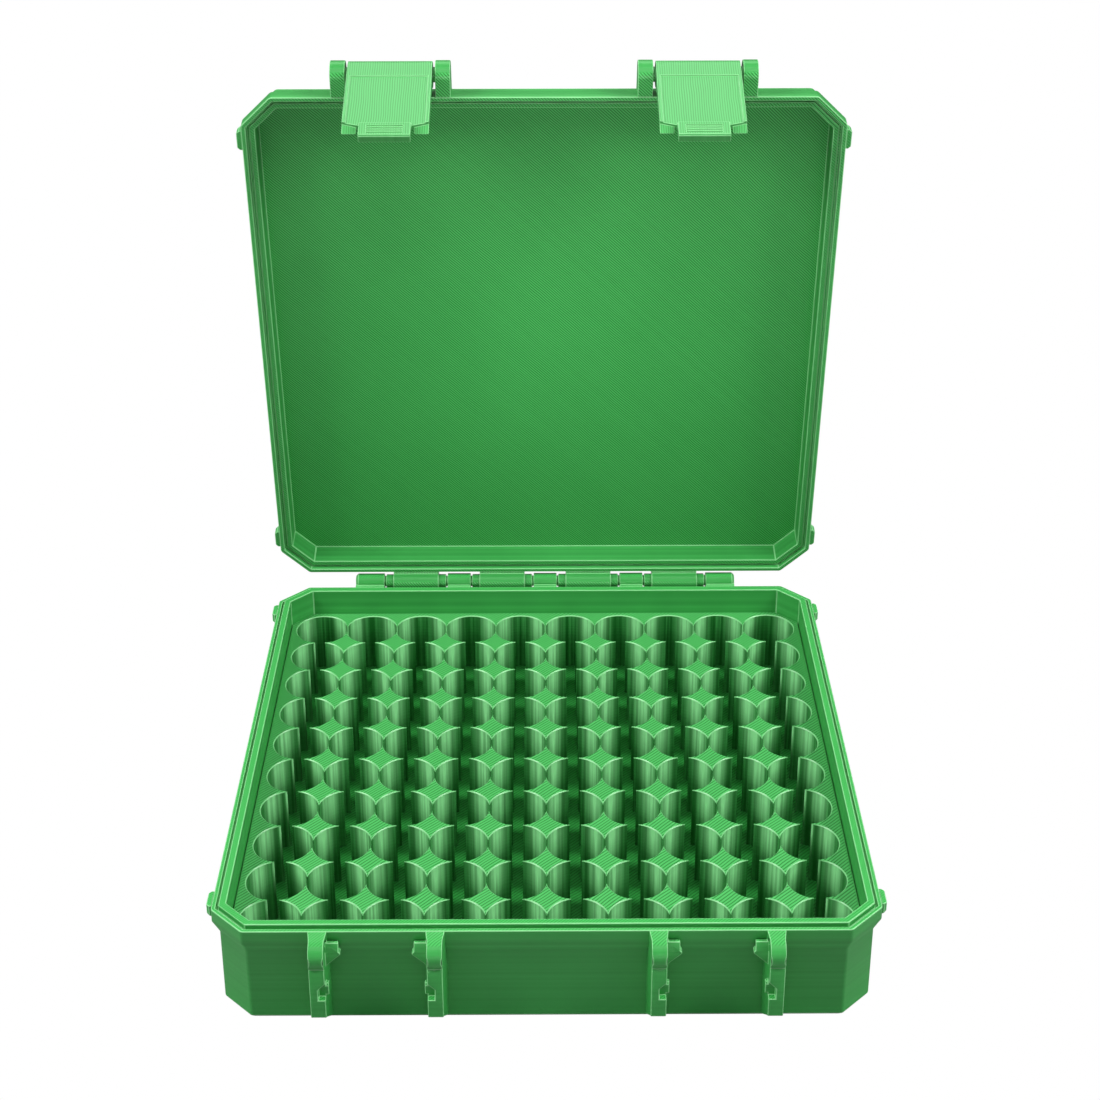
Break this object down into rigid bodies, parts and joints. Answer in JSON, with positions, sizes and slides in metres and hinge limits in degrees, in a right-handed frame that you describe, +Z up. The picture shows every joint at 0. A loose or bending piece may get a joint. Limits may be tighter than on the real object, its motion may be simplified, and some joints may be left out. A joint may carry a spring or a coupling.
{
  "type": "vial case",
  "caption": "Square hinged plastic case with a tray of round pockets that holds small vials upright, shut by snap latches.",
  "frame": {"origin": "centre of the base's flat underside", "axes": "+X to the right as seen from the latches, +Y to the hinge at the back, +Z up; the lid is stored open at 80.2 degrees"},
  "size_m": [0.186, 0.2043, 0.226],
  "materials": {
    "green_plastic": "printed in layers, satin"
  },
  "bodies": {
    "base": {"base_bumper_back_left": "green_plastic", "base_bumper_back_right": "green_plastic", "base_bumper_front_left": "green_plastic", "base_bumper_front_right": "green_plastic", "base_knuckle_1": "green_plastic", "base_knuckle_2": "green_plastic", "base_knuckle_3": "green_plastic", "base_knuckle_4": "green_plastic", "base_knuckle_5": "green_plastic", "base_rib_left_left": "green_plastic", "base_rib_left_right": "green_plastic", "base_rib_right_left": "green_plastic", "base_rib_right_right": "green_plastic", "base_shell": "green_plastic", "tray_border_back": "green_plastic", "tray_border_front": "green_plastic", "tray_border_left": "green_plastic", "tray_border_right": "green_plastic", "tray_floor": "green_plastic", "tray_posts": "green_plastic"},
    "lid": {"lid_bumper_back_left": "green_plastic", "lid_bumper_back_right": "green_plastic", "lid_bumper_front_left": "green_plastic", "lid_bumper_front_right": "green_plastic", "lid_knuckle_1": "green_plastic", "lid_knuckle_2": "green_plastic", "lid_knuckle_3": "green_plastic", "lid_knuckle_4": "green_plastic", "lid_lug_left_left": "green_plastic", "lid_lug_left_right": "green_plastic", "lid_lug_right_left": "green_plastic", "lid_lug_right_right": "green_plastic", "lid_shell": "green_plastic"},
    "latch_left": {"latch_left": "green_plastic"},
    "latch_right": {"latch_right": "green_plastic"}
  },
  "joints": [
    {"name": "lid_hinge", "type": "hinge", "parent": "base", "child": "lid", "pos_m": [0, 0.09532, 0.0316], "axis": [-1, 0, 0], "range_deg": [-80.2, 99.8]},
    {"name": "latch_left_hinge", "type": "hinge", "parent": "lid", "child": "latch_left", "pos_m": [-0.0458, 0.06696, 0.2217], "axis": [-1, 0, 0], "range_deg": [-4.2, 110]},
    {"name": "latch_right_hinge", "type": "hinge", "parent": "lid", "child": "latch_right", "pos_m": [0.0458, 0.06696, 0.2217], "axis": [-1, 0, 0], "range_deg": [-4.2, 110]}
  ]
}
